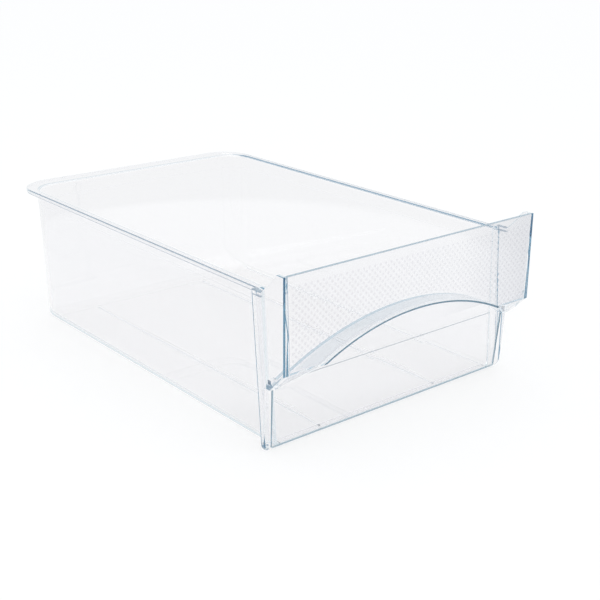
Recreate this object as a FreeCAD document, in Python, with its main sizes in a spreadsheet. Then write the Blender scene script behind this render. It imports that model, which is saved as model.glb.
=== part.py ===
"""Clear crisper drawer: a moulded tub and the front panel held between its cheeks.

Millimetres, +Z up, front facing -Y. The two pieces are drawn with Y = 0 on the face of the upper
band and then placed so that the origin is the middle of the footprint on the floor.
"""
import FreeCAD
import Part
import os

import Sketcher

SIZES = {
    # overall, depth runs from the face of the band to the back of the rim
    "depth": 409.4,
    "rim_half": 125.0,
    "rim_top": 123.0,
    "band_top": 140.2,
    # rim flange with its turned-down edge
    "flange_thick": 2.2,
    "rim_edge_height": 3.8,
    "rim_edge_thick": 2.0,
    "rim_corner_radius": 30.0,
    "rim_edge_radius": 0.6,
    "rim_inner_radius": 2.5,
    # walls and floor
    "wall": 2.2,
    "side_overhang": 5.2,
    "back_overhang": 16.0,
    "collar_step": 0.3,
    "shoulder_height": 110.0,
    "wall_corner_radius": 24.0,
    "draft_angle": 1.4,
    "back_floor_radius": 28.0,
    "floor_edge_radius": 3.0,
    # cheeks, with the seam as a straight line over the height from foot to top
    "cheek_half": 128.8,
    "cheek_reach_top": 36.0,
    "cheek_corner_foot": 25.6,
    "cheek_slant": 0.5,
    "cheek_inner_radius": 1.0,
    "cheek_foot_radius": 6.0,
    "cheek_edge_radius": 0.8,
    "ear_reach": 8.4,
    "ear_radius": 3.5,
    "notch_reach": 25.2,
    "seam_half_top": 126.1,
    "seam_half_foot": 121.5,
    "seam_gap": 0.25,
    # front panel
    "band_thick": 2.4,
    "band_foot": 67.9,
    "ledge_height": 52.0,
    "panel_setback_top": 21.1,
    "panel_setback_foot": 24.7,
    "panel_thick": 2.2,
    "panel_foot_radius": 1.5,
    "panel_corner_radius": 3.5,
    # arched grip
    "arch_peak": 88.9,
    "arch_radius": 206.3,
    "arch_thick": 2.3,
    "lip_reach": 1.2,
    "recess_foot": 54.7,
    "recess_depth_top": 14.8,
    # tongue under the panel and clips at its ends
    "tongue_depth": 5.0,
    "tongue_half": 112.0,
    "clip_size": 3.6,
    "clip_reach": 2.6,
    "clip_setback": 18.2,
    "clip_height": 57.4,
    "clip_post": 4.0,
    # floor ribs
    "rib_thick": 1.6,
    "rib_left": 71.0,
    "rib_right": 52.0,
    "rib_start": 70.0,
    "rib_ramp": 40.0,
    "rib_end": 357.0,
    "rib_height_front": 3.2,
    "rib_height_back": 0.8,
    "stud_radius": 1.6,
    "stud_height": 1.6,
    # how far cutting forms reach past what they cut
    "margin": 6.0,
}

# how far the long prisms reach to either side of the middle
SPAN = 400.0

# the seam between the cheeks and the panel, the panel's face and the face of the grip recess
SEAM_HALF = "(seam_half_foot + (seam_half_top - seam_half_foot) * ({z}) / band_top)"
PANEL_FACE = "(panel_setback_foot + (panel_setback_top - panel_setback_foot) * ({z}) / ledge_height)"
RECESS_FACE = (
    "(panel_setback_top + (recess_depth_top - panel_setback_top)"
    " * (({z}) - recess_foot) / (arch_peak - recess_foot))"
)
LEDGE_START = "(band_foot - ledge_height)"

# where the floor starts behind the panel, and the foot of the step walls that stand on it
FLOOR_START = "(panel_setback_foot + panel_thick + seam_gap)"
STEP_LEAN = f"((cheek_reach_top - wall - {FLOOR_START}) / (rim_top - wall))"
CORNER_LEAN = "((cheek_reach_top - cheek_corner_foot) / rim_top)"


def bound(formula):
    """Turn a formula in plain size names into one that reads them from the sheet."""
    pieces = []
    word = ""
    for mark in f"{formula} ":
        if mark.isalnum() or mark in "._":
            word += mark
            continue
        pieces.append(f"sizes.{word}" if word in SIZES else word)
        pieces.append(mark)
        word = ""
    return "".join(pieces).strip()


def make_sheet(doc):
    """Put every driving size in a spreadsheet cell with an alias."""
    sheet = doc.addObject("Spreadsheet::Sheet", "sizes")
    for row, (alias, value) in enumerate(SIZES.items(), start=1):
        sheet.set(f"A{row}", alias)
        sheet.set(f"B{row}", str(value))
        sheet.setAlias(f"B{row}", alias)
    doc.recompute()
    return sheet


def amount(doc, formula):
    """Read the number that a formula in the size names gives."""
    return float(doc.sizes.evalExpression(bound(formula)))


def drive(item, **formulas):
    """Bind properties of an object to formulas in the size names."""
    for name, formula in formulas.items():
        item.setExpression(name.replace("__", "."), bound(formula))


def outline(sketch, points):
    """Draw a closed outline whose corners are bound to pairs of formulas."""
    doc = sketch.Document
    corners = [FreeCAD.Vector(amount(doc, a), amount(doc, b), 0) for a, b in points]
    first = sketch.GeometryCount
    for index, corner in enumerate(corners):
        sketch.addGeometry(Part.LineSegment(corner, corners[(index + 1) % len(corners)]))
    for index in range(len(corners)):
        following = first + (index + 1) % len(corners)
        sketch.addConstraint(Sketcher.Constraint("Coincident", first + index, 2, following, 1))
    for index, pair in enumerate(points):
        for kind, formula in zip(("DistanceX", "DistanceY"), pair):
            corner = Sketcher.Constraint(kind, first + index, 1, amount(doc, formula))
            number = sketch.addConstraint(corner)
            sketch.setExpression(f"Constraints[{number}]", bound(formula))


def mirrored(points):
    """Close a right-hand half outline with its mirror image in the first coordinate."""
    return points + [(f"0 - ({across})", up) for across, up in reversed(points)]


def sketch_on(body, role, name, points, lift=None):
    """Add an outline to one of the body's own origin planes."""
    plane = next(item for item in body.Origin.OriginFeatures if item.Role == role)
    sketch = body.newObject("Sketcher::SketchObject", name)
    sketch.AttachmentSupport = [(plane, "")]
    sketch.MapMode = "FlatFace"
    if lift is not None:
        drive(sketch, AttachmentOffset__Base__z=lift)
    outline(sketch, points)
    return sketch


def prism(doc, name, role, points, length=None, lift=None):
    """Pad an outline, by a formula upward or over the whole span both ways."""
    body = doc.addObject("PartDesign::Body", name)
    sketch = sketch_on(body, role, f"{name}_outline", points, lift)
    pad = body.newObject("PartDesign::Pad", f"{name}_pad")
    pad.Profile = sketch
    if length is None:
        pad.Length = 2 * SPAN
        pad.Midplane = True
    else:
        drive(pad, Length=length)
    doc.recompute()
    return body


def round_edges(body, name, radius, chosen):
    """Fillet the edges of the body's tip that the test picks."""
    tip = body.Tip
    edges = [f"Edge{number}" for number, edge in enumerate(tip.Shape.Edges, 1) if chosen(edge)]
    fillet = body.newObject("PartDesign::Fillet", name)
    fillet.Base = (tip, edges)
    drive(fillet, Radius=radius)
    body.Document.recompute()


def rounded(doc, name, source, radius, chosen):
    """Carry a finished shape into a body and fillet the edges that the test picks."""
    body = doc.addObject("PartDesign::Body", name)
    body.BaseFeature = source
    doc.recompute()
    round_edges(body, f"{name}_fillet", radius, chosen)
    return body


def runs_along(edge, axis):
    """Tell whether a straight edge runs along an axis, within a small slant."""
    ends = [vertex.Point for vertex in edge.Vertexes]
    if len(ends) < 2:
        return False
    return abs((ends[1] - ends[0]).normalize().dot(axis)) > 0.98


def rounded_plan(doc, name, half, back, corner, lift, length):
    """Pad a plan outline that is square in front and rounded at the back corners."""
    points = [(half, FLOOR_START), (half, back)]
    body = prism(doc, name, "XY_Plane", mirrored(points), length, lift)
    middle = body.Tip.Shape.BoundBox.Center.y

    def back_corner(edge):
        return runs_along(edge, FreeCAD.Vector(0, 0, 1)) and edge.CenterOfMass.y > middle

    round_edges(body, f"{name}_corners", corner, back_corner)
    return body


def lean_walls(doc, body, name):
    """Draft the side and back walls inward below the neutral top face."""
    tip = body.Tip
    box = tip.Shape.BoundBox
    walls = []
    top = ""
    for number, face in enumerate(tip.Shape.Faces, 1):
        normal = face.normalAt(0, 0)
        if abs(normal.z) < 0.01 and face.CenterOfMass.y > box.YMin + 1:
            walls.append(f"Face{number}")
        if normal.z > 0.99:
            top = f"Face{number}"
    draft = body.newObject("PartDesign::Draft", name)
    draft.Base = (tip, walls)
    draft.NeutralPlane = (tip, [top])
    draft.Reversed = True
    drive(draft, Angle="draft_angle")
    doc.recompute()


def joined(doc, kind, name, shapes):
    """Fuse or intersect several objects."""
    result = doc.addObject(kind, name)
    result.Shapes = shapes
    doc.recompute()
    return result


def cut(doc, name, base, tool):
    """Cut one object from another."""
    result = doc.addObject("Part::Cut", name)
    result.Base = base
    result.Tool = tool
    doc.recompute()
    return result


def foot_profile(doc, name, inset, floor, back):
    """Make the side profile whose back foot is rounded, as a prism across the tub."""
    foot_reach = f"({back}) - (shoulder_height - ({floor})) * tan(draft_angle)"
    points = [
        ("0", floor),
        (foot_reach, floor),
        (back, "shoulder_height"),
        (back, "shoulder_height + 1"),
        ("0", "shoulder_height + 1"),
    ]
    body = prism(doc, name, "YZ_Plane", points)
    low = body.Tip.Shape.BoundBox.ZMin
    middle = body.Tip.Shape.BoundBox.Center.y

    def back_foot(edge):
        centre = edge.CenterOfMass
        return runs_along(edge, FreeCAD.Vector(1, 0, 0)) and centre.z < low + 0.1 and centre.y > middle

    round_edges(body, f"{name}_foot", f"back_floor_radius - {inset}", back_foot)
    return body


def wall_form(doc, name, inset, floor):
    """Make the drafted form of the tub, its outside or its hollow, with the collar on top."""
    half = f"rim_half - side_overhang - {inset}"
    back = f"depth - back_overhang - {inset}"
    corner = f"wall_corner_radius - {inset}"
    walls = rounded_plan(doc, f"{name}_walls", f"{half} - collar_step", f"{back} - collar_step",
                         corner, floor, f"shoulder_height - {floor}")
    lean_walls(doc, walls, f"{name}_draft")
    low = walls.Tip.Shape.BoundBox.ZMin

    def side_foot(edge):
        return runs_along(edge, FreeCAD.Vector(0, 1, 0)) and edge.CenterOfMass.z < low + 0.1

    round_edges(walls, f"{name}_side_foot", "floor_edge_radius", side_foot)
    foot = foot_profile(doc, f"{name}_profile", inset, floor, f"{back} - collar_step")
    lower = joined(doc, "Part::MultiCommon", f"{name}_lower", [walls, foot])
    collar = rounded_plan(doc, f"{name}_collar", half, back, f"{corner} + collar_step",
                          "shoulder_height", "rim_top - shoulder_height")
    return lower, collar


def rim_form(doc):
    """Make the rim flange with its turned-down edge, whose corners are slightly rounded."""
    plate = rounded_plan(doc, "rim_plate", "rim_half", "depth", "rim_corner_radius",
                         "rim_top - rim_edge_height", "rim_edge_height")
    front = plate.Tip.Shape.BoundBox.YMin

    def outer_edge(edge):
        level = abs(edge.Vertexes[0].Point.z - edge.Vertexes[-1].Point.z) < 0.01
        return level and edge.CenterOfMass.y > front + 1

    round_edges(plate, "rim_edges", "rim_edge_radius", outer_edge)
    groove = rounded_plan(doc, "rim_groove", "rim_half - rim_edge_thick", "depth - rim_edge_thick",
                          "rim_corner_radius - rim_edge_thick",
                          "rim_top - rim_edge_height", "rim_edge_height - flange_thick")
    return cut(doc, "rim", plate, groove)


def seam_slab(doc, name, gap, foot):
    """Make a slab as wide as the space between the cheeks, less a gap, above a given height."""
    top = "band_top + margin"
    points = [(SEAM_HALF.format(z=height) + f" - {gap}", height) for height in (foot, top)]
    return prism(doc, name, "XZ_Plane", mirrored(points))


def leaning_prism(doc, name, points, lean):
    """Pad a plan outline upward from the floor, sloping back by a share of its height."""
    body = doc.addObject("PartDesign::Body", name)
    sketch = sketch_on(body, "XY_Plane", f"{name}_outline", mirrored(points))
    pad = body.newObject("PartDesign::Pad", f"{name}_pad")
    pad.Profile = sketch
    pad.UseCustomVector = True
    pad.Direction = FreeCAD.Vector(0, 0, 1)
    pad.setExpression("Direction.y", bound(lean))
    pad.AlongSketchNormal = True
    drive(pad, Length="band_top + margin")
    doc.recompute()
    return body


def front_plan(doc):
    """Make the block over the front of the tub whose leaning back is cut away to its corners."""
    front = f"0 - margin - {CORNER_LEAN} * (band_top + margin)"
    block = leaning_prism(doc, "front_block_plan", [
        ("cheek_half", front),
        ("cheek_half", f"cheek_reach_top - {STEP_LEAN} * rim_top"),
    ], STEP_LEAN)
    corners = leaning_prism(doc, "front_corner_plan", [
        ("cheek_half + margin", front),
        ("cheek_half + margin", "cheek_corner_foot - cheek_slant * margin"),
        ("cheek_half - 4 * margin", "cheek_corner_foot + 4 * cheek_slant * margin"),
    ], CORNER_LEAN)

    def side_foot(edge):
        return runs_along(edge, FreeCAD.Vector(0, 1, 0)) and edge.CenterOfMass.z < 0.1

    round_edges(block, "front_block_foot", "cheek_foot_radius", side_foot)
    return joined(doc, "Part::MultiCommon", "front_plan", [block, corners])


def front_form(doc):
    """Make the block that the two cheeks and the step walls are left from."""
    points = [
        ("0", "band_foot"),
        ("0", "band_top"),
        ("ear_reach", "band_top"),
        ("notch_reach", "rim_top"),
        ("cheek_reach_top + margin", "rim_top"),
        ("cheek_reach_top + margin", "0"),
        ("panel_setback_foot", "0"),
        ("panel_setback_top", "ledge_height"),
        (LEDGE_START, "ledge_height"),
    ]
    profile = prism(doc, "cheek_profile", "YZ_Plane", points)
    top = amount(doc, "band_top")
    reach = amount(doc, "ear_reach")

    def ear(edge):
        return edge.CenterOfMass.z > top - 0.1 and abs(edge.CenterOfMass.y - reach) < 0.1

    round_edges(profile, "ear_round", "ear_radius", ear)
    return joined(doc, "Part::MultiCommon", "front_block", [profile, front_plan(doc)])


def front_hollow(doc):
    """Make the space between the cheeks, in front of the step walls and of the floor's edge."""
    top = "band_top + margin"
    above = [
        ("0 - margin", "wall"),
        (FLOOR_START, "wall"),
        (f"{FLOOR_START} + {STEP_LEAN} * ({top} - wall)", top),
        ("0 - margin", top),
    ]
    below = [
        ("0 - margin", "0 - margin"),
        (FLOOR_START, "0 - margin"),
        (FLOOR_START, "wall"),
        ("0 - margin", "wall"),
    ]
    slab = seam_slab(doc, "space_slab", "0", "0 - margin")
    spaces = []
    for word, points in (("above", above), ("below", below)):
        profile = prism(doc, f"space_{word}_profile", "YZ_Plane", points)
        spaces.append(joined(doc, "Part::MultiCommon", f"space_{word}", [profile, slab]))

    def back_corner(edge):
        return runs_along(edge, FreeCAD.Vector(0, 0, 1)) and edge.CenterOfMass.y > 0

    spaces[0] = rounded(doc, "space_rounded", spaces[0], "cheek_inner_radius", back_corner)
    return joined(doc, "Part::MultiFuse", "front_hollow", spaces)


def box(doc, name, low, high):
    """Make a box between two corners given as formulas."""
    item = doc.addObject("Part::Box", name)
    for axis, side, start, end in zip("xyz", ("Length", "Width", "Height"), low, high):
        item.setExpression(side, bound(f"({end}) - ({start})"))
        item.setExpression(f"Placement.Base.{axis}", bound(start))
    doc.recompute()
    return item


def cylinder(doc, name, centre, radius, height, axis=(0, 0, 1)):
    """Make a cylinder from a centre, radius and height given as formulas."""
    item = doc.addObject("Part::Cylinder", name)
    item.Placement.Rotation = FreeCAD.Rotation(FreeCAD.Vector(0, 0, 1), FreeCAD.Vector(*axis))
    for direction, formula in zip("xyz", centre):
        item.setExpression(f"Placement.Base.{direction}", bound(formula))
    drive(item, Radius=radius, Height=height)
    doc.recompute()
    return item


def floor_rib(doc, name, across):
    """Make one tapered rib on the floor with the stud at its back end."""
    points = [
        ("rib_start - rib_ramp", "wall / 2"),
        ("rib_end", "wall / 2"),
        ("rib_end", "wall + rib_height_back"),
        ("rib_start", "wall + rib_height_front"),
        ("rib_start - rib_ramp", "wall"),
    ]
    body = doc.addObject("PartDesign::Body", name)
    sketch = sketch_on(body, "YZ_Plane", f"{name}_outline", points, across)
    pad = body.newObject("PartDesign::Pad", f"{name}_pad")
    pad.Profile = sketch
    pad.Midplane = True
    drive(pad, Length="rib_thick")
    stud = cylinder(doc, f"{name}_stud", (across, "rib_end", "wall / 2"), "stud_radius",
                    "wall / 2 + stud_height")
    return [body, stud]


def clip_box(doc, name, side, gap, low, reach):
    """Make a clip, its slot or its post, from inside the panel's end outward to a reach."""
    inner = SEAM_HALF.format(z="clip_height") + " - clip_post"
    start, end = (inner, reach) if side > 0 else (f"0 - ({reach})", f"0 - ({inner})")
    half = f"(clip_size / 2 + {gap})"
    return box(doc, name, (start, f"clip_setback - {half}", low),
               (end, f"clip_setback + {half}", f"clip_height + {half}"))


def tub_form(doc):
    """Build the tub: floor, walls, rim, cheeks and ribs as one moulding."""
    lower, collar = wall_form(doc, "outer", "0", "0")
    solid = joined(doc, "Part::MultiFuse", "tub_solid", [lower, collar, rim_form(doc), front_form(doc)])
    hollow_lower, hollow_collar = wall_form(doc, "hollow", "wall", "wall")
    hollow = joined(doc, "Part::MultiFuse", "tub_hollow", [hollow_lower, hollow_collar, front_hollow(doc)])
    shell = cut(doc, "tub_shell", solid, hollow)
    ribs = floor_rib(doc, "rib_left", "0 - rib_left") + floor_rib(doc, "rib_right", "rib_right")
    ribbed = joined(doc, "Part::MultiFuse", "tub_ribbed", [shell] + ribs)
    rebate = box(doc, "tongue_rebate", ("0 - tongue_half - seam_gap", "panel_setback_foot", "wall / 2"),
                 ("tongue_half + seam_gap", f"{FLOOR_START} + tongue_depth", "wall"))
    half = "(clip_size / 2 + seam_gap)"
    slot_end = SEAM_HALF.format(z="clip_height") + " + clip_reach"
    slots = [clip_box(doc, f"slot_{word}", side, "seam_gap", f"clip_height - {half}", slot_end)
             for word, side in (("left", -1), ("right", 1))]
    openings = joined(doc, "Part::MultiFuse", "tub_openings", [rebate] + slots)
    seated = cut(doc, "tub_seated", ribbed, openings)
    return soften(doc, seated)


def soften(doc, seated):
    """Round the inner edge of the rim and the outer edges of the cheeks."""
    top = amount(doc, "rim_top")
    inside = amount(doc, "rim_half - side_overhang - wall") + 0.1
    back = amount(doc, "depth - back_overhang - wall") + 0.1
    step_back = amount(doc, "cheek_reach_top - wall") + 0.5
    cheek = amount(doc, "cheek_half")
    foot = amount(doc, "panel_setback_foot")

    def rim_inner(edge):
        reach = edge.BoundBox
        level = reach.ZMin > top - 0.01 and reach.ZMax < top + 0.01
        within = max(abs(reach.XMin), abs(reach.XMax)) < inside and reach.YMax < back
        return level and within and edge.CenterOfMass.y > step_back

    def cheek_outer(edge):
        reach = edge.BoundBox
        centre = edge.CenterOfMass
        in_front = centre.z > top - 0.1 or centre.y < foot
        return reach.XLength < 0.01 and abs(abs(reach.XMin) - cheek) < 0.01 and in_front

    rim = rounded(doc, "tub_rim_rounded", seated, "rim_inner_radius", rim_inner)
    return rounded(doc, "tub_form", rim, "cheek_edge_radius", cheek_outer)


def panel_plate(doc):
    """Make the band, the slanted underside, the ledge and the lower panel as one bent plate."""
    bend = "tan(22.5)"
    points = [
        ("0", "band_top"),
        ("0", "band_foot"),
        (LEDGE_START, "ledge_height"),
        ("panel_setback_top", "ledge_height"),
        ("panel_setback_foot", "0"),
        ("panel_setback_foot + panel_thick", "0"),
        ("panel_setback_top + panel_thick", "ledge_height"),
        ("panel_setback_top + panel_thick", "ledge_height + panel_thick"),
        (f"{LEDGE_START} + {bend} * panel_thick", "ledge_height + panel_thick"),
        ("band_thick", "band_foot + sqrt(2) * panel_thick - band_thick"),
        ("band_thick", "band_top"),
    ]
    strip = prism(doc, "panel_strip", "YZ_Plane", points)
    face = amount(doc, "panel_setback_foot")

    def front_foot(edge):
        return edge.CenterOfMass.z < 0.1 and abs(edge.CenterOfMass.y - face) < 0.1

    round_edges(strip, "panel_strip_foot", "panel_foot_radius", front_foot)
    slab = seam_slab(doc, "panel_slab", "seam_gap", "0")

    def side_foot(edge):
        return runs_along(edge, FreeCAD.Vector(0, 1, 0)) and edge.CenterOfMass.z < 0.1

    round_edges(slab, "panel_slab_corners", "panel_corner_radius", side_foot)
    return joined(doc, "Part::MultiCommon", "panel_plate", [strip, slab])


def arch(doc, name, extra, start, end):
    """Make the arch's cylinder along the depth, from one setback to another."""
    return cylinder(doc, name, ("0", start, "arch_peak - arch_radius"),
                    f"arch_radius + {extra}", f"({end}) - ({start})", (0, 1, 0))


def recess_outside(doc):
    """Make the outside of the grip recess behind the band."""
    top = "arch_peak + margin"
    low = "ledge_height - margin"
    points = [
        ("0", top),
        ("0", "band_foot"),
        (LEDGE_START, "ledge_height"),
        ("panel_setback_top", "ledge_height"),
        (PANEL_FACE.format(z=low), low),
        (PANEL_FACE.format(z=low) + " + panel_thick", low),
        ("panel_setback_top + panel_thick", "recess_foot"),
        (RECESS_FACE.format(z=top) + " + panel_thick", top),
    ]
    side = prism(doc, "recess_outside_profile", "YZ_Plane", points)
    barrel = arch(doc, "recess_outside_arch", "arch_thick", "0", "panel_setback_foot + margin")
    slab = seam_slab(doc, "recess_slab", "seam_gap", "0")
    return joined(doc, "Part::MultiCommon", "recess_outside", [side, barrel, slab])


def recess_inside(doc):
    """Make the hollow of the grip recess, open below and in front."""
    top = "arch_peak + margin"
    low = "ledge_height - margin"
    points = [
        ("0 - margin", top),
        ("0 - margin", low),
        (PANEL_FACE.format(z=low), low),
        ("panel_setback_top", "ledge_height"),
        ("panel_setback_top", "recess_foot"),
        (RECESS_FACE.format(z=top), top),
    ]
    side = prism(doc, "recess_inside_profile", "YZ_Plane", points)
    barrel = arch(doc, "recess_inside_arch", "0", "0 - margin", "panel_setback_foot + margin")
    return joined(doc, "Part::MultiCommon", "recess_inside", [side, barrel])


def lip(doc):
    """Make the lip that stands proud of the band along the arch."""
    barrel = arch(doc, "lip_arch", "arch_thick", "0 - lip_reach", "band_thick")
    keep = box(doc, "lip_zone", ("0 - rim_half", "0 - margin", "band_foot"),
               ("rim_half", "band_thick", "band_top"))
    return joined(doc, "Part::MultiCommon", "lip", [barrel, keep])


def panel_form(doc):
    """Build the front panel: band, arched grip recess, lower panel, tongue and clips."""
    whole = joined(doc, "Part::MultiFuse", "panel_whole", [panel_plate(doc), recess_outside(doc), lip(doc)])
    opened = cut(doc, "panel_opened", whole, recess_inside(doc))
    tongue = box(doc, "tongue", ("0 - tongue_half", "panel_setback_foot + panel_thick / 2", "wall / 2"),
                 ("tongue_half", "panel_setback_foot + panel_thick + tongue_depth", "wall"))
    extras = [tongue]
    clip_end = SEAM_HALF.format(z="clip_height") + " - seam_gap + clip_reach"
    post_end = SEAM_HALF.format(z="ledge_height") + " - seam_gap"
    for word, side in (("left", -1), ("right", 1)):
        extras.append(clip_box(doc, f"clip_{word}", side, "0", "clip_height - clip_size / 2", clip_end))
        extras.append(clip_box(doc, f"clip_post_{word}", side, "0", "ledge_height + panel_thick / 2",
                               post_end))
    return joined(doc, "Part::MultiFuse", "panel_form", [opened] + extras)


def place(form, name):
    """Name a finished piece and stand it over the middle of the part's footprint."""
    form.Label = name
    drive(form, Placement__Base__y="(lip_reach - depth) / 2")


def check(doc):
    """Stop if any object failed or has an invalid shape."""
    for item in doc.Objects:
        if {"Invalid", "Error"} & set(item.State):
            raise RuntimeError(f"{item.Name} could not be computed: {item.State}")
        if hasattr(item, "Shape") and (item.Shape.isNull() or not item.Shape.isValid()):
            raise RuntimeError(f"{item.Name} has no valid shape")


def main():
    """Build both pieces, check them and write them out."""
    doc = FreeCAD.newDocument("crisper_drawer")
    make_sheet(doc)
    pieces = {"tub": tub_form(doc), "front_panel": panel_form(doc)}
    for name, form in pieces.items():
        place(form, name)
    doc.recompute()
    check(doc)
    os.makedirs("parts", exist_ok=True)
    for name, form in pieces.items():
        form.Shape.exportStep(f"parts/{name}.step")
        print(name, form.Shape.BoundBox, round(form.Shape.Volume), len(form.Shape.Solids))


main()
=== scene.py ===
"""Looks of a clear crisper drawer: moulded polystyrene, pale floor, soft light and the camera.

The drawer is two clear mouldings, a tub and a front panel. Clear sheet gathers light and lets it
out at bends, rims and cut edges, over more turns than a render follows. So the finishes paint the
shade seen at these places into their colour, and mark the places by the drawer's own sizes: X to
the right, Y to the back and Z up, from the middle of its foot.
"""

from __future__ import annotations

import logging
import math
from abc import ABC, abstractmethod
from dataclasses import dataclass, field
from enum import Enum

import bpy
from mathutils import Matrix, Vector

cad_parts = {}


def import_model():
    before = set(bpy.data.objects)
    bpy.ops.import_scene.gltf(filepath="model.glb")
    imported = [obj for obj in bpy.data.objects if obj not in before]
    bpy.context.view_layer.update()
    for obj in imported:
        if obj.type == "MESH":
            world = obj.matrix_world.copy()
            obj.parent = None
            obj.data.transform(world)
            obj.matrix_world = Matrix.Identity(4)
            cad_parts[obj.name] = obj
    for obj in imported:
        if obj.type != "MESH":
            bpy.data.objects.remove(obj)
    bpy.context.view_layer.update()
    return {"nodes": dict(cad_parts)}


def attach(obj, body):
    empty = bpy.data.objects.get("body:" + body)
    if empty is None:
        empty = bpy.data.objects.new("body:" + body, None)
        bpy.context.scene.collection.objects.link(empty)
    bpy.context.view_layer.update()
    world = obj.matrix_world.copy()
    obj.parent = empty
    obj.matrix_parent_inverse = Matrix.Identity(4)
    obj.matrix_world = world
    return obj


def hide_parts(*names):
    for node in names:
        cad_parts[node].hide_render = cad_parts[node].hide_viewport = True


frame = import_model()

log = logging.getLogger("crisper_drawer")

Point = tuple[float, float, float]
Colour = tuple[float, float, float, float]

MM = 0.001
WHITE: Colour = (1.0, 1.0, 1.0, 1.0)
BLACK: Colour = (0.0, 0.0, 0.0, 1.0)

# The sRGB curve is straight up to its knee and a power above it.
SRGB_KNEE = 0.04045
SRGB_SLOPE = 12.92
SRGB_OFFSET = 0.055
SRGB_POWER = 2.4


def srgb(code: str) -> Colour:
    """Turn an sRGB hex colour into the linear colour that shaders take.

    Args:
        code: Six hex digits after a hash sign.

    Returns:
        Linear red, green and blue, and an alpha of 1.
    """
    values = [int(code[start:start + 2], 16) / 255 for start in (1, 3, 5)]
    red, green, blue = (
        value / SRGB_SLOPE
        if value <= SRGB_KNEE
        else ((value + SRGB_OFFSET) / (1 + SRGB_OFFSET)) ** SRGB_POWER
        for value in values
    )
    return red, green, blue, 1.0


def add_node(
    tree: bpy.types.NodeTree,
    kind: str,
    settings: dict[str, object] | None = None,
    inputs: dict[str | int, object] | None = None,
) -> bpy.types.Node:
    """Add a node to a tree with its settings, socket values and incoming links.

    Args:
        tree: The node tree to add to.
        kind: The node's type name.
        settings: Properties of the node itself.
        inputs: Socket values by name or index; an output socket makes a link.

    Returns:
        The new node.
    """
    node = tree.nodes.new(kind)
    for name, value in (settings or {}).items():
        setattr(node, name, value)
    for key, value in (inputs or {}).items():
        if isinstance(value, bpy.types.NodeSocket):
            tree.links.new(value, node.inputs[key])
        else:
            node.inputs[key].default_value = value
    return node


def new_material(name: str) -> tuple[bpy.types.Material, bpy.types.NodeTree]:
    """Make an empty node material.

    Args:
        name: The material's name.

    Returns:
        The material and its node tree.
    """
    material = bpy.data.materials.new(name)
    material.use_nodes = True
    material.node_tree.nodes.clear()
    return material, material.node_tree


@dataclass(frozen=True)
class Places:
    """Where a point of the surface lies on the drawer, as sockets of one material's tree.

    Attributes:
        tree: The material's node tree.
        plain: The point's place.
        folded: The point's place with the drawer's left half laid onto its right half.
    """

    tree: bpy.types.NodeTree
    plain: bpy.types.NodeSocket
    folded: bpy.types.NodeSocket

    @classmethod
    def in_tree(cls, tree: bpy.types.NodeTree) -> Places:
        """Add the nodes that tell the place.

        Args:
            tree: The material's node tree.

        Returns:
            The tree with its two sockets.
        """
        plain = add_node(tree, "ShaderNodeTexCoord").outputs["Object"]
        axes = add_node(tree, "ShaderNodeSeparateXYZ", inputs={0: plain})
        out = add_node(
            tree,
            "ShaderNodeMath",
            settings={"operation": "ABSOLUTE"},
            inputs={0: axes.outputs["X"]},
        )
        folded = add_node(
            tree,
            "ShaderNodeCombineXYZ",
            inputs={0: out.outputs[0], 1: axes.outputs["Y"], 2: axes.outputs["Z"]},
        )
        return cls(tree, plain, folded.outputs[0])


class Limit(ABC):
    """One condition that the points of a zone meet."""

    @abstractmethod
    def mark(self, places: Places) -> bpy.types.NodeSocket:
        """Add the nodes that test the condition.

        Args:
            places: The tree to add to and the point's place.

        Returns:
            The socket that is 1 where the condition holds and 0 elsewhere.
        """


@dataclass(frozen=True)
class Beyond(Limit):
    """The far side of a plane: where the place times `way` comes to more than `reach`."""

    way: Point
    reach: float
    folded: bool = True

    def mark(self, places: Places) -> bpy.types.NodeSocket:
        """Test on which side of the plane a point lies.

        Args:
            places: The tree to add to and the point's place.

        Returns:
            The socket that is 1 beyond the plane.
        """
        along = add_node(
            places.tree,
            "ShaderNodeVectorMath",
            settings={"operation": "DOT_PRODUCT"},
            inputs={0: places.folded if self.folded else places.plain, 1: self.way},
        )
        past = add_node(
            places.tree,
            "ShaderNodeMath",
            settings={"operation": "GREATER_THAN"},
            inputs={0: along.outputs["Value"], 1: self.reach},
        )
        return past.outputs[0]


class Side(Enum):
    """The side of a circle that a zone lies on, with the comparison that finds it."""

    INNER = "LESS_THAN"
    OUTER = "GREATER_THAN"


@dataclass(frozen=True)
class Round(Limit):
    """One side of a circle, as seen from the front."""

    centre: Point
    radius: float
    side: Side

    def mark(self, places: Places) -> bpy.types.NodeSocket:
        """Test on which side of the circle a point lies.

        Args:
            places: The tree to add to and the point's place.

        Returns:
            The socket that is 1 on the limit's side of the circle.
        """
        flat = add_node(
            places.tree,
            "ShaderNodeVectorMath",
            settings={"operation": "MULTIPLY"},
            inputs={0: places.plain, 1: (1.0, 0.0, 1.0)},
        )
        apart = add_node(
            places.tree,
            "ShaderNodeVectorMath",
            settings={"operation": "DISTANCE"},
            inputs={0: flat.outputs[0], 1: self.centre},
        )
        chosen = add_node(
            places.tree,
            "ShaderNodeMath",
            settings={"operation": self.side.value},
            inputs={0: apart.outputs["Value"], 1: self.radius},
        )
        return chosen.outputs[0]


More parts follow.
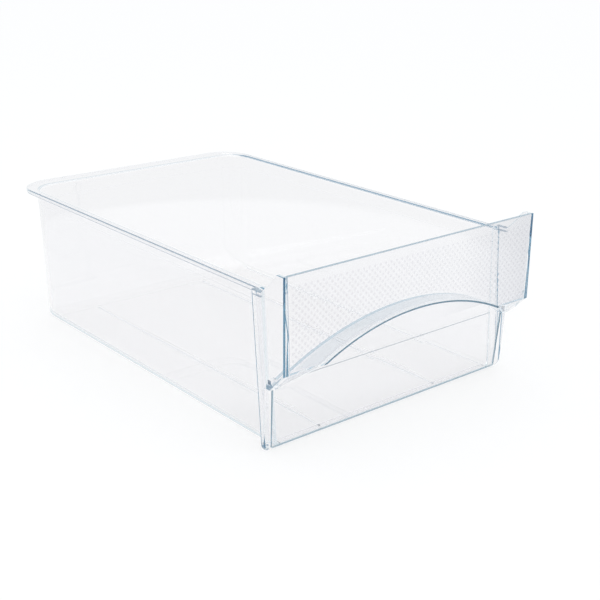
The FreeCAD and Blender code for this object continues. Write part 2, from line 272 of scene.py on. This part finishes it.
@dataclass(frozen=True)
class Sideways(Limit):
    """Faces that look to the left or right by more than a share."""

    share: float

    def mark(self, places: Places) -> bpy.types.NodeSocket:
        """Test which way a face looks.

        Args:
            places: The tree to add to.

        Returns:
            The socket that is 1 on faces that look sideways.
        """
        face = add_node(places.tree, "ShaderNodeNewGeometry")
        axes = add_node(
            places.tree, "ShaderNodeSeparateXYZ", inputs={0: face.outputs["True Normal"]}
        )
        across = add_node(
            places.tree,
            "ShaderNodeMath",
            settings={"operation": "ABSOLUTE"},
            inputs={0: axes.outputs["X"]},
        )
        enough = add_node(
            places.tree,
            "ShaderNodeMath",
            settings={"operation": "GREATER_THAN"},
            inputs={0: across.outputs[0], 1: self.share},
        )
        return enough.outputs[0]


@dataclass(frozen=True)
class Growing(Limit):
    """A soft limit that grows from 0 to 1 on its way to the right."""

    start: float
    end: float

    def mark(self, places: Places) -> bpy.types.NodeSocket:
        """Work out how far to the right a point lies.

        Args:
            places: The tree to add to and the point's place.

        Returns:
            The socket that is 0 up to the start and 1 from the end on.
        """
        axes = add_node(places.tree, "ShaderNodeSeparateXYZ", inputs={0: places.plain})
        share = add_node(
            places.tree,
            "ShaderNodeMapRange",
            inputs={"Value": axes.outputs["X"], "From Min": self.start, "From Max": self.end},
        )
        return share.outputs["Result"]


def above(height: float) -> Limit:
    """Limit a zone to the places above a height."""
    return Beyond((0.0, 0.0, 1.0), height)


def below(height: float) -> Limit:
    """Limit a zone to the places below a height."""
    return Beyond((0.0, 0.0, -1.0), -height)


def before(depth: float, lean: float = 0.0) -> Limit:
    """Limit a zone to the front of a plane that leans back with the height."""
    return Beyond((0.0, -1.0, lean), -depth)


def behind(depth: float, lean: float = 0.0) -> Limit:
    """Limit a zone to the back of a plane that leans back with the height."""
    return Beyond((0.0, 1.0, -lean), depth)


def outside(half: float, lean: float = 0.0) -> Limit:
    """Limit a zone to the outside of two planes that lean out with the height."""
    return Beyond((1.0, 0.0, -lean), half)


def inside(half: float, lean: float = 0.0) -> Limit:
    """Limit a zone to the inside of two planes that lean out with the height."""
    return Beyond((-1.0, 0.0, lean), -half)


@dataclass(frozen=True)
class Zone:
    """The part of the surface that meets all of some limits, and how strongly it shows."""

    limits: tuple[Limit, ...]
    share: float = 1.0

    def mark(self, places: Places) -> bpy.types.NodeSocket | float:
        """Multiply the limits' marks.

        Args:
            places: The tree to add to and the point's place.

        Returns:
            The zone's share within all of its limits and 0 elsewhere.
        """
        value: bpy.types.NodeSocket | float = self.share
        for limit in self.limits:
            both = add_node(
                places.tree,
                "ShaderNodeMath",
                settings={"operation": "MULTIPLY"},
                inputs={0: value, 1: limit.mark(places)},
            )
            value = both.outputs[0]
        return value


@dataclass(frozen=True)
class Shade:
    """A colour laid over some zones of the surface, as painted shade or as the tint of caught
    light.
    """

    colour: str
    zones: tuple[Zone, ...]

    def lay(self, places: Places, under: bpy.types.NodeSocket | Colour) -> bpy.types.NodeSocket:
        """Lay the colour over another one, as far as the zones reach.

        Args:
            places: The tree to add to and the point's place.
            under: The colour that shows elsewhere.

        Returns:
            The socket that carries the mixed colour.
        """
        share: bpy.types.NodeSocket | float = 0.0
        for zone in self.zones:
            most = add_node(
                places.tree,
                "ShaderNodeMath",
                settings={"operation": "MAXIMUM"},
                inputs={0: share, 1: zone.mark(places)},
            )
            share = most.outputs[0]
        mixed = add_node(
            places.tree, "ShaderNodeMixRGB", inputs={0: share, 1: under, 2: srgb(self.colour)}
        )
        return mixed.outputs[0]


@dataclass(frozen=True)
class Seam:
    """The seam of cheek and band, with painted shade on a wedge that widens on its way down.

    Attributes:
        place: How far out from the middle the seam lies.
        half: Half the wedge's width at its foot.
        top: The height of the wedge's point.
        foot: The height of the wedge's foot, which is the foot of the band.
    """

    place: float = 125.8 * MM
    half: float = 1.25 * MM
    top: float = 105 * MM
    foot: float = 64 * MM

    def limits(self) -> tuple[Limit, ...]:
        """Work out the wedge's two sides and its foot.

        Returns:
            The limits of the wedge.
        """
        widening = self.half / (self.top - self.foot)
        return (
            outside(self.place - widening * self.top, widening),
            inside(self.place + widening * self.top, -widening),
            above(self.foot),
        )


@dataclass(frozen=True)
class ClearPolystyrene(ABC):
    """Clear general-purpose polystyrene, injection moulded against polished steel.

    It gives the eye near-colourless walls with a sharp gloss. Light that is caught inside the
    sheet runs along it, turns blue on its way and shows at bends, rims and cut edges, where the
    finishes lay it on as painted shade.

    Attributes:
        ior: Typical for polystyrene.
        roughness: Next to none, as a polished mould leaves it.
        surface: The colour of each face.
        painted_edge_shade: The deep blue painted as shade where a sheet is seen along its length.
        tint: The colour that the sheet's thickness adds.
        shadow: How much light a wall lets through to the floor.
        caught: The colour of light that has turned round in the sheet many times.
        caught_bounces: The number of turns after which the sheet lets that light out.
        first_way_out: The count of ways out that parts the first, tinted one from the later ones.
    """

    name: str
    ior: float = 1.59
    roughness: float = 0.008
    surface: str = "#FBFBFC"
    # Painted shade: deep blue laid where the sheet is seen along its length, at cut edges and
    # rims.
    painted_edge_shade: str = "#2F5E80"
    tint: str = "#7CD3ED"
    tint_density: float = 2.0
    shadow: str = "#FEFEFE"
    caught: str = "#EBF1F4"
    caught_bounces: float = 4.5
    first_way_out: float = 0.5
    seam: Seam = Seam()

    @abstractmethod
    def shades(self) -> tuple[Shade, ...]:
        """Return the painted shades of the marked zones, each over the ones before it."""

    @abstractmethod
    def relief(self, places: Places) -> bpy.types.NodeSocket:
        """Add the fine relief of the surface.

        Args:
            places: The tree to add to and the point's place.

        Returns:
            The socket of the surface's normal.
        """

    def plain_colour(self, places: Places) -> bpy.types.NodeSocket | Colour:
        """Return the colour of the unmarked surface."""
        return srgb(self.surface)

    def caught_colour(self, places: Places) -> bpy.types.NodeSocket | Colour:
        """Return the colour of caught light where it first leaves."""
        return srgb(self.caught)

    def leak(self, places: Places, path: bpy.types.Node) -> bpy.types.NodeSocket:
        """Let caught light out of the sheet, tinted where it first leaves.

        Args:
            places: The tree to add to and the point's place.
            path: The node that tells a ray's history.

        Returns:
            The socket of the way out.
        """
        first = add_node(
            places.tree,
            "ShaderNodeBsdfTransparent",
            inputs={"Color": self.caught_colour(places)},
        )
        later = add_node(places.tree, "ShaderNodeBsdfTransparent", inputs={"Color": WHITE})
        left = add_node(
            places.tree,
            "ShaderNodeMath",
            settings={"operation": "GREATER_THAN"},
            inputs={0: path.outputs["Transparent Depth"], 1: self.first_way_out},
        )
        mixed = add_node(
            places.tree,
            "ShaderNodeMixShader",
            inputs={0: left.outputs[0], 1: first.outputs[0], 2: later.outputs[0]},
        )
        return mixed.outputs[0]

    def build(self) -> bpy.types.Material:
        """Make the material: the clear body, the way out for caught light, tint and shadow.

        Returns:
            The finished material.
        """
        material, tree = new_material(self.name)
        places = Places.in_tree(tree)
        colour = self.plain_colour(places)
        # Lay each painted shade over the plain colour, in order.
        for shade in self.shades():
            colour = shade.lay(places, colour)
        body = add_node(
            tree,
            "ShaderNodeBsdfPrincipled",
            inputs={
                "Base Color": colour,
                "Roughness": self.roughness,
                "IOR": self.ior,
                "Transmission Weight": 1.0,
                "Normal": self.relief(places),
            },
        )
        path = add_node(tree, "ShaderNodeLightPath")
        caught = add_node(
            tree,
            "ShaderNodeMath",
            settings={"operation": "GREATER_THAN"},
            inputs={0: path.outputs["Glossy Depth"], 1: self.caught_bounces},
        )
        seen = add_node(
            tree,
            "ShaderNodeMixShader",
            inputs={0: caught.outputs[0], 1: body.outputs[0], 2: self.leak(places, path)},
        )
        veil = add_node(tree, "ShaderNodeBsdfTransparent", inputs={"Color": srgb(self.shadow)})
        surface = add_node(
            tree,
            "ShaderNodeMixShader",
            inputs={0: path.outputs["Is Shadow Ray"], 1: seen.outputs[0], 2: veil.outputs[0]},
        )
        depth = add_node(
            tree,
            "ShaderNodeVolumeAbsorption",
            inputs={"Color": srgb(self.tint), "Density": self.tint_density},
        )
        add_node(
            tree,
            "ShaderNodeOutputMaterial",
            inputs={"Surface": surface.outputs[0], "Volume": depth.outputs[0]},
        )
        return material


@dataclass(frozen=True)
class TubPolystyrene(ClearPolystyrene):
    """The tub's clear polystyrene, moulded smooth, with a slight sink and flow ripple.

    It has painted shade in deep blue at the front edges of the cheeks, at their back corners and
    in two lines of the side rims, standing in for the eye looking along the sheet, through
    centimetres of it.

    Attributes:
        deep: The blue of caught light at the side rims.
        front_face: The plane that the cheeks' front edges stand out from.
        left_strip: How far out the painted blue shade starts on the front of the left cheek.
        right_strip: The same at the top of the right cheek, where the painted strip narrows to its
            foot.
        corner_foot: The plane of the cheeks' back corners at the foot, which lean back.
        rim_share: How strongly the painted shade of the two lines of the side rims shows.
    """

    name: str = "clear_polystyrene_tub"
    tint_density: float = 0.6
    deep: str = "#86A9C0"
    deep_low: float = 112 * MM
    deep_outside: float = 118 * MM
    ripple_length: float = 60 * MM
    ripple_height: float = 0.02 * MM
    ripple_detail: float = 2.0
    front_face: float = -203.2 * MM
    left_strip: float = 127.5 * MM
    right_strip: float = 125.0 * MM
    right_narrowing: float = 0.03
    band_top: float = 139 * MM
    cheek_face: float = 128.0 * MM
    corner_foot: float = -178.6 * MM
    corner_lean: float = 0.0845
    corner_half: float = 0.55 * MM
    corner_top: float = 121 * MM
    rim_low: float = 119.0 * MM
    rim_lower_line: float = 119.9 * MM
    rim_upper_line: float = 122.2 * MM
    rim_outside: float = 124.4 * MM
    rim_share: float = 0.8

    def cheek_fronts(self) -> tuple[Zone, ...]:
        """Mark the painted shade at the cheeks' front edges: the outer strips and the seam's
        wedge.

        Returns:
            A zone for each.
        """
        front = (above(self.seam.foot), before(self.front_face))
        left = Beyond((-1.0, 0.0, 0.0), self.left_strip, folded=False)
        right = Beyond(
            (1.0, 0.0, self.right_narrowing),
            self.right_strip + self.right_narrowing * self.band_top,
            folded=False,
        )
        return (
            Zone((left, *front)),
            Zone((right, *front)),
            Zone((*self.seam.limits(), before(self.front_face))),
        )

    def cheek_corners(self) -> Zone:
        """Mark the thin line of painted shade along the cheeks' back corners.

        Returns:
            The zone of both lines.
        """
        return Zone((
            behind(self.corner_foot - self.corner_half, self.corner_lean),
            before(self.corner_foot + self.corner_half, self.corner_lean),
            outside(self.cheek_face),
            below(self.corner_top),
        ))

    def rim_lines(self) -> tuple[Zone, ...]:
        """Mark the two lines of painted shade along the outer face of the side rims.

        Returns:
            A zone for each.
        """
        rim = (outside(self.rim_outside), above(self.rim_low), behind(self.corner_foot))
        return (
            Zone((below(self.rim_lower_line), *rim), self.rim_share),
            Zone((above(self.rim_upper_line), *rim), self.rim_share),
        )

    def shades(self) -> tuple[Shade, ...]:
        """Return the deep blue painted shade on the cheeks' edges and the side rims' lines."""
        return (
            # Painted shade in deep blue on the cheeks' fronts and back corners and on the side
            # rims' lines.
            Shade(self.painted_edge_shade, (*self.cheek_fronts(), self.cheek_corners(), *self.rim_lines())),
        )

    def caught_colour(self, places: Places) -> bpy.types.NodeSocket | Colour:
        """Work out the colour of caught light, which is a deeper blue at the side rims.

        Args:
            places: The tree to add to and the point's place.

        Returns:
            The socket that carries the colour.
        """
        rims = Zone((outside(self.deep_outside), above(self.deep_low)))
        return Shade(self.deep, (rims,)).lay(places, srgb(self.caught))

    def relief(self, places: Places) -> bpy.types.NodeSocket:
        """Add the slight sink and flow ripple of a moulded wall.

        Args:
            places: The tree to add to and the point's place.

        Returns:
            The socket of the surface's normal.
        """
        ripple = add_node(
            places.tree,
            "ShaderNodeTexNoise",
            inputs={
                "Vector": places.plain,
                "Scale": 1 / self.ripple_length,
                "Detail": self.ripple_detail,
            },
        )
        bump = add_node(
            places.tree,
            "ShaderNodeBump",
            inputs={
                "Height": ripple.outputs["Fac"],
                "Distance": self.ripple_height,
                "Strength": 1.0,
            },
        )
        return bump.outputs["Normal"]


@dataclass(frozen=True)
class StippledPolystyrene(ClearPolystyrene):
    """The same clear polystyrene, moulded against steel with a field of small round dimples.

    The dimples are sunk into the surface as relief, and faint grey dots of painted shade in
    staggered rows stand in for how they break up what is seen through the band. The band's top,
    the arched overhang and roof of the recess, and the edges of the lower panel are painted as
    grey-blue lines of shade.

    Attributes:
        far_end_painted_shade: The grey of painted shade that the band takes on towards its right
            end.
        pitch: The step from dot to dot within a row.
        grid_shifts: How far each of the two staggered grids of dots is moved, in steps.
        cell_middle: Where a dot lies in its cell, in steps.
        dot_edge: Half the width over which a dot fades out.
        field_centre: The centre of the arch that the field of dots stops at.
        lip_line: The distance from the arch's centre within which the painted shade at the foot of
            the arched overhang shows.
        outline_half: How far out the lower panel's side margins start at the foot, leaning out.
        fine_reach: How far out the fine line at the recess's foot runs.
        side_share: How far to the side a face looks to count as one of the cut edges that get
            painted shade.
    """

    name: str = "clear_polystyrene_stippled"
    caught: str = "#CFDDE6"
    # Painted shade: the grey that the band turns towards its right end.
    far_end_painted_shade: str = "#E9EAED"
    far_start: float = 45 * MM
    far_stop: float = 125 * MM
    pitch: float = 5.37 * MM
    grid_shifts: tuple[float, float] = (0.0, 0.5)
    cell_middle: Point = (0.5, 0.0, 0.5)
    dot_radius: float = 1.1 * MM
    dot_edge: float = 0.5 * MM
    dot_depth: float = 0.006 * MM
    # Painted shade: the faint grey that the dimples are painted with.
    dimple_painted_shade: str = "#EAEAED"
    field_centre: Point = (-12.5 * MM, 0.0, -112 * MM)
    field_radius: float = 212 * MM
    field_low: float = 68 * MM
    field_top: float = 133 * MM
    field_half: float = 122 * MM
    band_face: float = -203.4 * MM
    band_back: float = -201.4 * MM
    # Painted shade: the grey-blue line along the band's top.
    top_painted_shade: str = "#A9BAC4"
    top_height: float = 139.8 * MM
    # Painted shade: the pale grey-blue over the roof of the finger recess.
    ceiling_painted_shade: str = "#EDF1F4"
    ceiling_back: float = -187.4 * MM
    ceiling_low: float = 62.4 * MM
    # Painted shade: the grey-blue line at the lower panel's foot, with the tub's floor on behind
    # it.
    foot_painted_shade: str = "#90A6B1"
    foot_height: float = 2.3 * MM
    foot_face: float = -177.5 * MM
    # Painted shade: the fine grey line at the foot of the recess.
    fine_painted_shade: str = "#A2ADB5"
    fine_height: float = 53.4 * MM
    fine_half: float = 0.4 * MM
    fine_reach: float = 108 * MM
    fine_front: float = -187 * MM
    fine_back: float = -182.4 * MM
    # Painted shade: the dark blue-grey side margins of the lower panel.
    margin_painted_shade: str = "#678495"
    outline_half: float = 120.4 * MM
    outline_lean: float = 0.024
    outline_top: float = 53.5 * MM
    # Painted shade: the dark blue at the foot of the arched overhang over the recess.
    lip_painted_shade: str = "#2F4F66"
    lip_centre: Point = (0.0, 0.0, -119.5 * MM)
    lip_line: float = 209.7 * MM
    lip_face: float = -204.5 * MM
    side_share: float = 0.8

    def dots(self, places: Places) -> bpy.types.NodeSocket | float:
        """Draw the dimples in staggered rows.

        Args:
            places: The tree to add to and the point's place.

        Returns:
            The socket that is 1 on the dimples and 0 between them.
        """
        near: list[bpy.types.NodeSocket] = []
        for shift in self.grid_shifts:
            scaled = add_node(
                places.tree,
                "ShaderNodeVectorMath",
                settings={"operation": "MULTIPLY_ADD"},
                inputs={
                    0: places.plain,
                    1: (1 / self.pitch, 0.0, 1 / self.pitch),
                    2: (shift, 0.0, shift),
                },
            )
            cell = add_node(
                places.tree,
                "ShaderNodeVectorMath",
                settings={"operation": "FRACTION"},
                inputs={0: scaled.outputs[0]},
            )
            apart = add_node(
                places.tree,
                "ShaderNodeVectorMath",
                settings={"operation": "DISTANCE"},
                inputs={0: cell.outputs[0], 1: self.cell_middle},
            )
            near.append(apart.outputs["Value"])
        nearest = add_node(
            places.tree,
            "ShaderNodeMath",
            settings={"operation": "MINIMUM"},
            inputs={0: near[0], 1: near[1]},
        )
        distance = add_node(
            places.tree,
            "ShaderNodeMath",
            settings={"operation": "MULTIPLY"},
            inputs={0: nearest.outputs[0], 1: self.pitch},
        )
        dot = add_node(
            places.tree,
            "ShaderNodeMapRange",
            settings={"interpolation_type": "SMOOTHSTEP"},
            inputs={
                "Value": distance.outputs[0],
                "From Min": self.dot_radius - self.dot_edge,
                "From Max": self.dot_radius + self.dot_edge,
                "To Min": 1.0,
                "To Max": 0.0,
            },
        )
        on_band = add_node(
            places.tree,
            "ShaderNodeMath",
            settings={"operation": "MULTIPLY"},
            inputs={0: dot.outputs["Result"], 1: self.dimpled_field().mark(places)},
        )
        return on_band.outputs[0]

    def dimpled_field(self) -> Zone:
        """Bound the dimpled field: the band's front above the arch, short of its edges.

        Returns:
            The zone of the dots.
        """
        return Zone((
            Round(self.field_centre, self.field_radius, Side.OUTER),
            above(self.field_low),
            below(self.field_top),
            before(self.band_face),
            inside(self.field_half),
        ))

    def plain_colour(self, places: Places) -> bpy.types.NodeSocket | Colour:
        """Work out the band's colour, greyed by painted shade to the right and in the dimples.

        Args:
            places: The tree to add to and the point's place.

        Returns:
            The socket that carries the colour.
        """
        # Painted shade: the band greys towards its right end.
        right = Zone((Growing(self.far_start, self.far_stop), above(self.seam.foot)))
        greyed = Shade(self.far_end_painted_shade, (right,)).lay(places, srgb(self.surface))
        # The dimples are painted grey as shade over the band's colour.
        dotted = add_node(
            places.tree,
            "ShaderNodeMixRGB",
            settings={"blend_type": "MULTIPLY"},
            inputs={0: self.dots(places), 1: greyed, 2: srgb(self.dimple_painted_shade)},
        )
        return dotted.outputs[0]

    def cut_edges(self) -> tuple[Zone, ...]:
        """Mark the painted shade on the seam's wedge and the side edges of the band and of the
        lower panel.

        Returns:
            A zone for each.
        """
        sideways = Sideways(self.side_share)
        return (
            Zone((*self.seam.limits(), before(self.band_face))),
            Zone((before(self.band_back), sideways)),
            Zone((below(self.seam.foot), sideways)),
        )

    def shades(self) -> tuple[Shade, ...]:
        """List the painted shade of the panel's lines and edges.

        Returns:
            The painted shades in their order: the band's top, the roof of the recess, the foot of
            the lower panel with the tub's floor border on behind it, the fine line at the foot of
            the recess, the side margins of the lower panel, the arch's foot, and the cut edges.
        """
        foot = Zone((below(self.foot_height), before(self.foot_face)))
        roof = Zone((
            behind(self.band_back),
            before(self.ceiling_back),
            above(self.ceiling_low),
        ))
        fine = Zone((
            above(self.fine_height - self.fine_half),
            below(self.fine_height + self.fine_half),
            behind(self.fine_front),
            before(self.fine_back),
            inside(self.fine_reach),
        ))
        margins = Zone((outside(self.outline_half, self.outline_lean), below(self.outline_top)))
        lip_painted_shade = Zone((before(self.lip_face), Round(self.lip_centre, self.lip_line, Side.INNER)))
        return (
            Shade(self.top_painted_shade, (Zone((above(self.top_height),)),)),
            Shade(self.ceiling_painted_shade, (roof,)),
            Shade(self.foot_painted_shade, (foot,)),
            Shade(self.fine_painted_shade, (fine,)),
            Shade(self.margin_painted_shade, (margins,)),
            Shade(self.lip_painted_shade, (lip_painted_shade,)),
            Shade(self.painted_edge_shade, self.cut_edges()),
        )

    def relief(self, places: Places) -> bpy.types.NodeSocket:
        """Sink the dimples into the surface.

        Args:
            places: The tree to add to and the point's place.

        Returns:
            The socket of the surface's normal.
        """
        bump = add_node(
            places.tree,
            "ShaderNodeBump",
            settings={"invert": True},
            inputs={"Height": self.dots(places), "Distance": self.dot_depth, "Strength": 1.0},
        )
        return bump.outputs["Normal"]


class Moulding(ABC):
    """One moulding of the drawer."""

    finish: ClearPolystyrene

    @abstractmethod
    def piece(self) -> bpy.types.Object:
        """Return the object that is shown."""

    def build(self) -> bpy.types.Object:
        """Dress the moulding in its finish.

        Returns:
            The object that is shown.
        """
        piece = self.piece()
        piece.data.materials.clear()
        piece.data.materials.append(self.finish.build())
        return piece


@dataclass
class Tub(Moulding):
    """The tub: floor, walls, rim and cheeks in one, shown by its own solid."""

    finish: ClearPolystyrene = field(default_factory=TubPolystyrene)

    def piece(self) -> bpy.types.Object:
        """Return the tub of the frame."""
        return frame["nodes"]["tub"]


@dataclass
class FrontPanel(Moulding):
    """The front panel: band, finger recess and lower panel in one.

    Attributes:
        tongue_foot: The height of the tongue's underside, which rests on the tub's rebate.
        tongue_lift: How far the shown tongue is raised from there.
        foot_reach: How near to that height a point counts as part of the underside.
    """

    finish: ClearPolystyrene = field(default_factory=StippledPolystyrene)
    tongue_foot: float = 1.1 * MM
    tongue_lift: float = 0.1 * MM
    foot_reach: float = 0.02 * MM

    def piece(self) -> bpy.types.Object:
        """Copy the front panel with its tongue just clear of the tub's rebate.

        Two clear faces in one plane would throw light to and fro between them as a dark band.

        Returns:
            The panel that is shown.
        """
        mesh = frame["nodes"]["front_panel"].data.copy()
        for vertex in mesh.vertices:
            if abs(vertex.co.z - self.tongue_foot) < self.foot_reach:
                vertex.co.z += self.tongue_lift
        piece = bpy.data.objects.new("grip_panel", mesh)
        bpy.context.collection.objects.link(piece)
        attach(piece, "root")
        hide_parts("front_panel")
        return piece


@dataclass(frozen=True)
class StudioPaper:
    """Smooth pale paper, matt, on a table lit from above.

    It gives the eye an even white ground with a faint shadow. Through the clear drawer a disc of
    it looks a little lighter, which is the lit part of the table.

    Attributes:
        shaded_share: How much of the lit paper itself the open view shows, with its shadow.
        shaded_share_through: The same for what is seen through or in the drawer.
        open_lift: The white added to the open view.
        disc_lift: The white added within the disc as seen through the drawer.
        outer_lift: The white added outside the disc.
    """

    name: str = "studio_paper"
    colour: str = "#F2F3F4"
    shaded_share: float = 0.35
    shaded_share_through: float = 0.2
    open_lift: float = 0.70
    disc_centre: Point = (76 * MM, 158 * MM, 0.0)
    disc_radius: float = 321 * MM
    disc_edge: float = 20 * MM
    disc_lift: float = 0.815
    outer_lift: float = 0.77

    def disc(self, tree: bpy.types.NodeTree) -> bpy.types.NodeSocket:
        """Draw the lit disc.

        Args:
            tree: The node tree to add to.

        Returns:
            The socket of the white that clear things show of the floor.
        """
        place = add_node(tree, "ShaderNodeTexCoord")
        apart = add_node(
            tree,
            "ShaderNodeVectorMath",
            settings={"operation": "DISTANCE"},
            inputs={0: place.outputs["Object"], 1: self.disc_centre},
        )
        lift = add_node(
            tree,
            "ShaderNodeMapRange",
            settings={"interpolation_type": "SMOOTHSTEP"},
            inputs={
                "Value": apart.outputs["Value"],
                "From Min": self.disc_radius - self.disc_edge,
                "From Max": self.disc_radius + self.disc_edge,
                "To Min": self.disc_lift,
                "To Max": self.outer_lift,
            },
        )
        return lift.outputs["Result"]

    def shares(
        self,
        tree: bpy.types.NodeTree,
        path: bpy.types.Node,
        open_view: float,
        through: bpy.types.NodeSocket | float,
    ) -> bpy.types.NodeSocket:
        """Choose a share by how the floor is seen.

        Args:
            tree: The node tree to add to.
            path: The node that tells a ray's history.
            open_view: The share where the camera sees the floor itself.
            through: The share where it is seen through or in something clear or glossy.

        Returns:
            The socket of the chosen share, 0 for all other light.
        """
        indirect = add_node(
            tree,
            "ShaderNodeMath",
            settings={"operation": "MAXIMUM"},
            inputs={0: path.outputs["Is Glossy Ray"], 1: path.outputs["Is Transmission Ray"]},
        )
        part = add_node(
            tree,
            "ShaderNodeMath",
            settings={"operation": "MULTIPLY"},
            inputs={0: indirect.outputs[0], 1: through},
        )
        both = add_node(
            tree,
            "ShaderNodeMath",
            settings={"operation": "MULTIPLY_ADD"},
            inputs={0: path.outputs["Is Camera Ray"], 1: open_view, 2: part.outputs[0]},
        )
        return both.outputs[0]

    def build(self) -> bpy.types.Material:
        """Make the paper, part lit surface and part white.

        Returns:
            The finished material.
        """
        material, tree = new_material(self.name)
        path = add_node(tree, "ShaderNodeLightPath")
        white = self.shares(tree, path, self.open_lift, self.disc(tree))
        held = self.shares(tree, path, 1 - self.shaded_share, 1 - self.shaded_share_through)
        paper = add_node(tree, "ShaderNodeBsdfDiffuse", inputs={"Color": srgb(self.colour)})
        none = add_node(tree, "ShaderNodeBsdfTransparent", inputs={"Color": BLACK})
        shaded = add_node(
            tree,
            "ShaderNodeMixShader",
            inputs={0: held, 1: paper.outputs[0], 2: none.outputs[0]},
        )
        lift = add_node(tree, "ShaderNodeEmission", inputs={"Color": WHITE, "Strength": white})
        lit = add_node(
            tree, "ShaderNodeAddShader", inputs={0: shaded.outputs[0], 1: lift.outputs[0]}
        )
        add_node(tree, "ShaderNodeOutputMaterial", inputs={"Surface": lit.outputs[0]})
        return material


@dataclass(frozen=True)
class SoftLamp:
    """A square soft lamp that points at the drawer."""

    name: str = "key_lamp"
    place: Point = (-0.9, -0.6, 1.6)
    target: Point = (0.0, 0.0, 0.05)
    size: float = 1.2
    power: float = 6.0

    def build(self) -> None:
        """Hang the lamp."""
        data = bpy.data.lights.new(self.name, "AREA")
        data.size = self.size
        data.energy = self.power
        item = bpy.data.objects.new(self.name, data)
        bpy.context.collection.objects.link(item)
        item.location = self.place
        way = Vector(self.target) - Vector(self.place)
        item.rotation_euler = way.to_track_quat("-Z", "Y").to_euler()


@dataclass
class Studio:
    """The pale floor, the white surroundings and the lamp."""

    paper: StudioPaper = field(default_factory=StudioPaper)
    lamp: SoftLamp = field(default_factory=SoftLamp)
    floor_half: float = 6.0
    floor_drop: float = 0.2 * MM
    surround_colour: str = "#F4F6F8"

    def floor(self) -> None:
        """Lay the floor just under the drawer."""
        bpy.ops.mesh.primitive_plane_add(
            size=2 * self.floor_half, location=(0, 0, -self.floor_drop)
        )
        plane = bpy.context.object
        plane.name = "studio_floor"
        plane.data.materials.append(self.paper.build())

    def surround(self) -> None:
        """Make the world: white where it is seen, a little dimmer as a light."""
        world = bpy.data.worlds.new("studio_surround")
        bpy.context.scene.world = world
        world.use_nodes = True
        tree = world.node_tree
        tree.nodes.clear()
        path = add_node(tree, "ShaderNodeLightPath")
        looks = add_node(
            tree,
            "ShaderNodeMath",
            settings={"operation": "MAXIMUM"},
            inputs={0: path.outputs["Is Camera Ray"], 1: path.outputs["Is Transmission Ray"]},
        )
        seen = add_node(tree, "ShaderNodeBackground", inputs={"Color": WHITE, "Strength": 1.0})
        cast = add_node(
            tree,
            "ShaderNodeBackground",
            inputs={"Color": srgb(self.surround_colour), "Strength": 1.0},
        )
        mixed = add_node(
            tree,
            "ShaderNodeMixShader",
            inputs={0: looks.outputs[0], 1: cast.outputs[0], 2: seen.outputs[0]},
        )
        add_node(tree, "ShaderNodeOutputWorld", inputs={"Surface": mixed.outputs[0]})

    def build(self) -> None:
        """Build the whole studio."""
        self.floor()
        self.surround()
        self.lamp.build()


@dataclass
class Viewpoint:
    """The camera, placed as the photograph was taken.

    Attributes:
        turn: How far the camera is turned about the upright, in radians.
        tilt: How far it looks down.
        roll: How far it is rolled about its own axis.
        focal_in_pixels: The focal length as measured on a picture of `frame_width` pixels.
    """

    place: Point = (-556.1 * MM, -737.5 * MM, 374.8 * MM)
    turn: float = -0.6911
    tilt: float = 0.3508
    roll: float = 0.0054
    focal_in_pixels: float = 1090.1
    frame_width: float = 600.0
    sensor_mm: float = 36.0
    nearest: float = 0.01
    farthest: float = 50.0

    def build(self) -> None:
        """Set the scene's camera."""
        data = bpy.data.cameras.new("photo_camera")
        data.sensor_width = self.sensor_mm
        data.lens = self.focal_in_pixels / self.frame_width * self.sensor_mm
        data.clip_start = self.nearest
        data.clip_end = self.farthest
        camera = bpy.data.objects.new("photo_camera", data)
        bpy.context.collection.objects.link(camera)
        back = Vector((
            math.sin(self.turn) * math.cos(self.tilt),
            -math.cos(self.turn) * math.cos(self.tilt),
            math.sin(self.tilt),
        ))
        level = Vector((0, 0, 1)).cross(back).normalized()
        up = back.cross(level)
        across = math.cos(self.roll) * level + math.sin(self.roll) * up
        upright = math.cos(self.roll) * up - math.sin(self.roll) * level
        matrix = Matrix((across, upright, back)).transposed().to_4x4()
        matrix.translation = Vector(self.place)
        camera.matrix_world = matrix
        bpy.context.scene.camera = camera


@dataclass(frozen=True)
class LightTurns:
    """How often the renderer follows light, which passes many clear sheets here."""

    total: int = 24
    through_clear: int = 24
    glossy: int = 12
    straight_through: int = 24

    def build(self) -> None:
        """Set the scene's limits."""
        cycles = bpy.context.scene.cycles
        cycles.max_bounces = self.total
        cycles.transmission_bounces = self.through_clear
        cycles.glossy_bounces = self.glossy
        cycles.transparent_max_bounces = self.straight_through


def main() -> None:
    """Dress and report both mouldings, build the studio and set the camera."""
    logging.basicConfig(level=logging.INFO)
    bpy.context.scene.view_settings.view_transform = "Standard"
    for moulding in (Tub(), FrontPanel()):
        piece = moulding.build()
        log.info("%s dressed in %s", piece.name, moulding.finish.name)
    for part in (Studio(), Viewpoint(), LightTurns()):
        part.build()


if __name__ == "__main__":
    main()
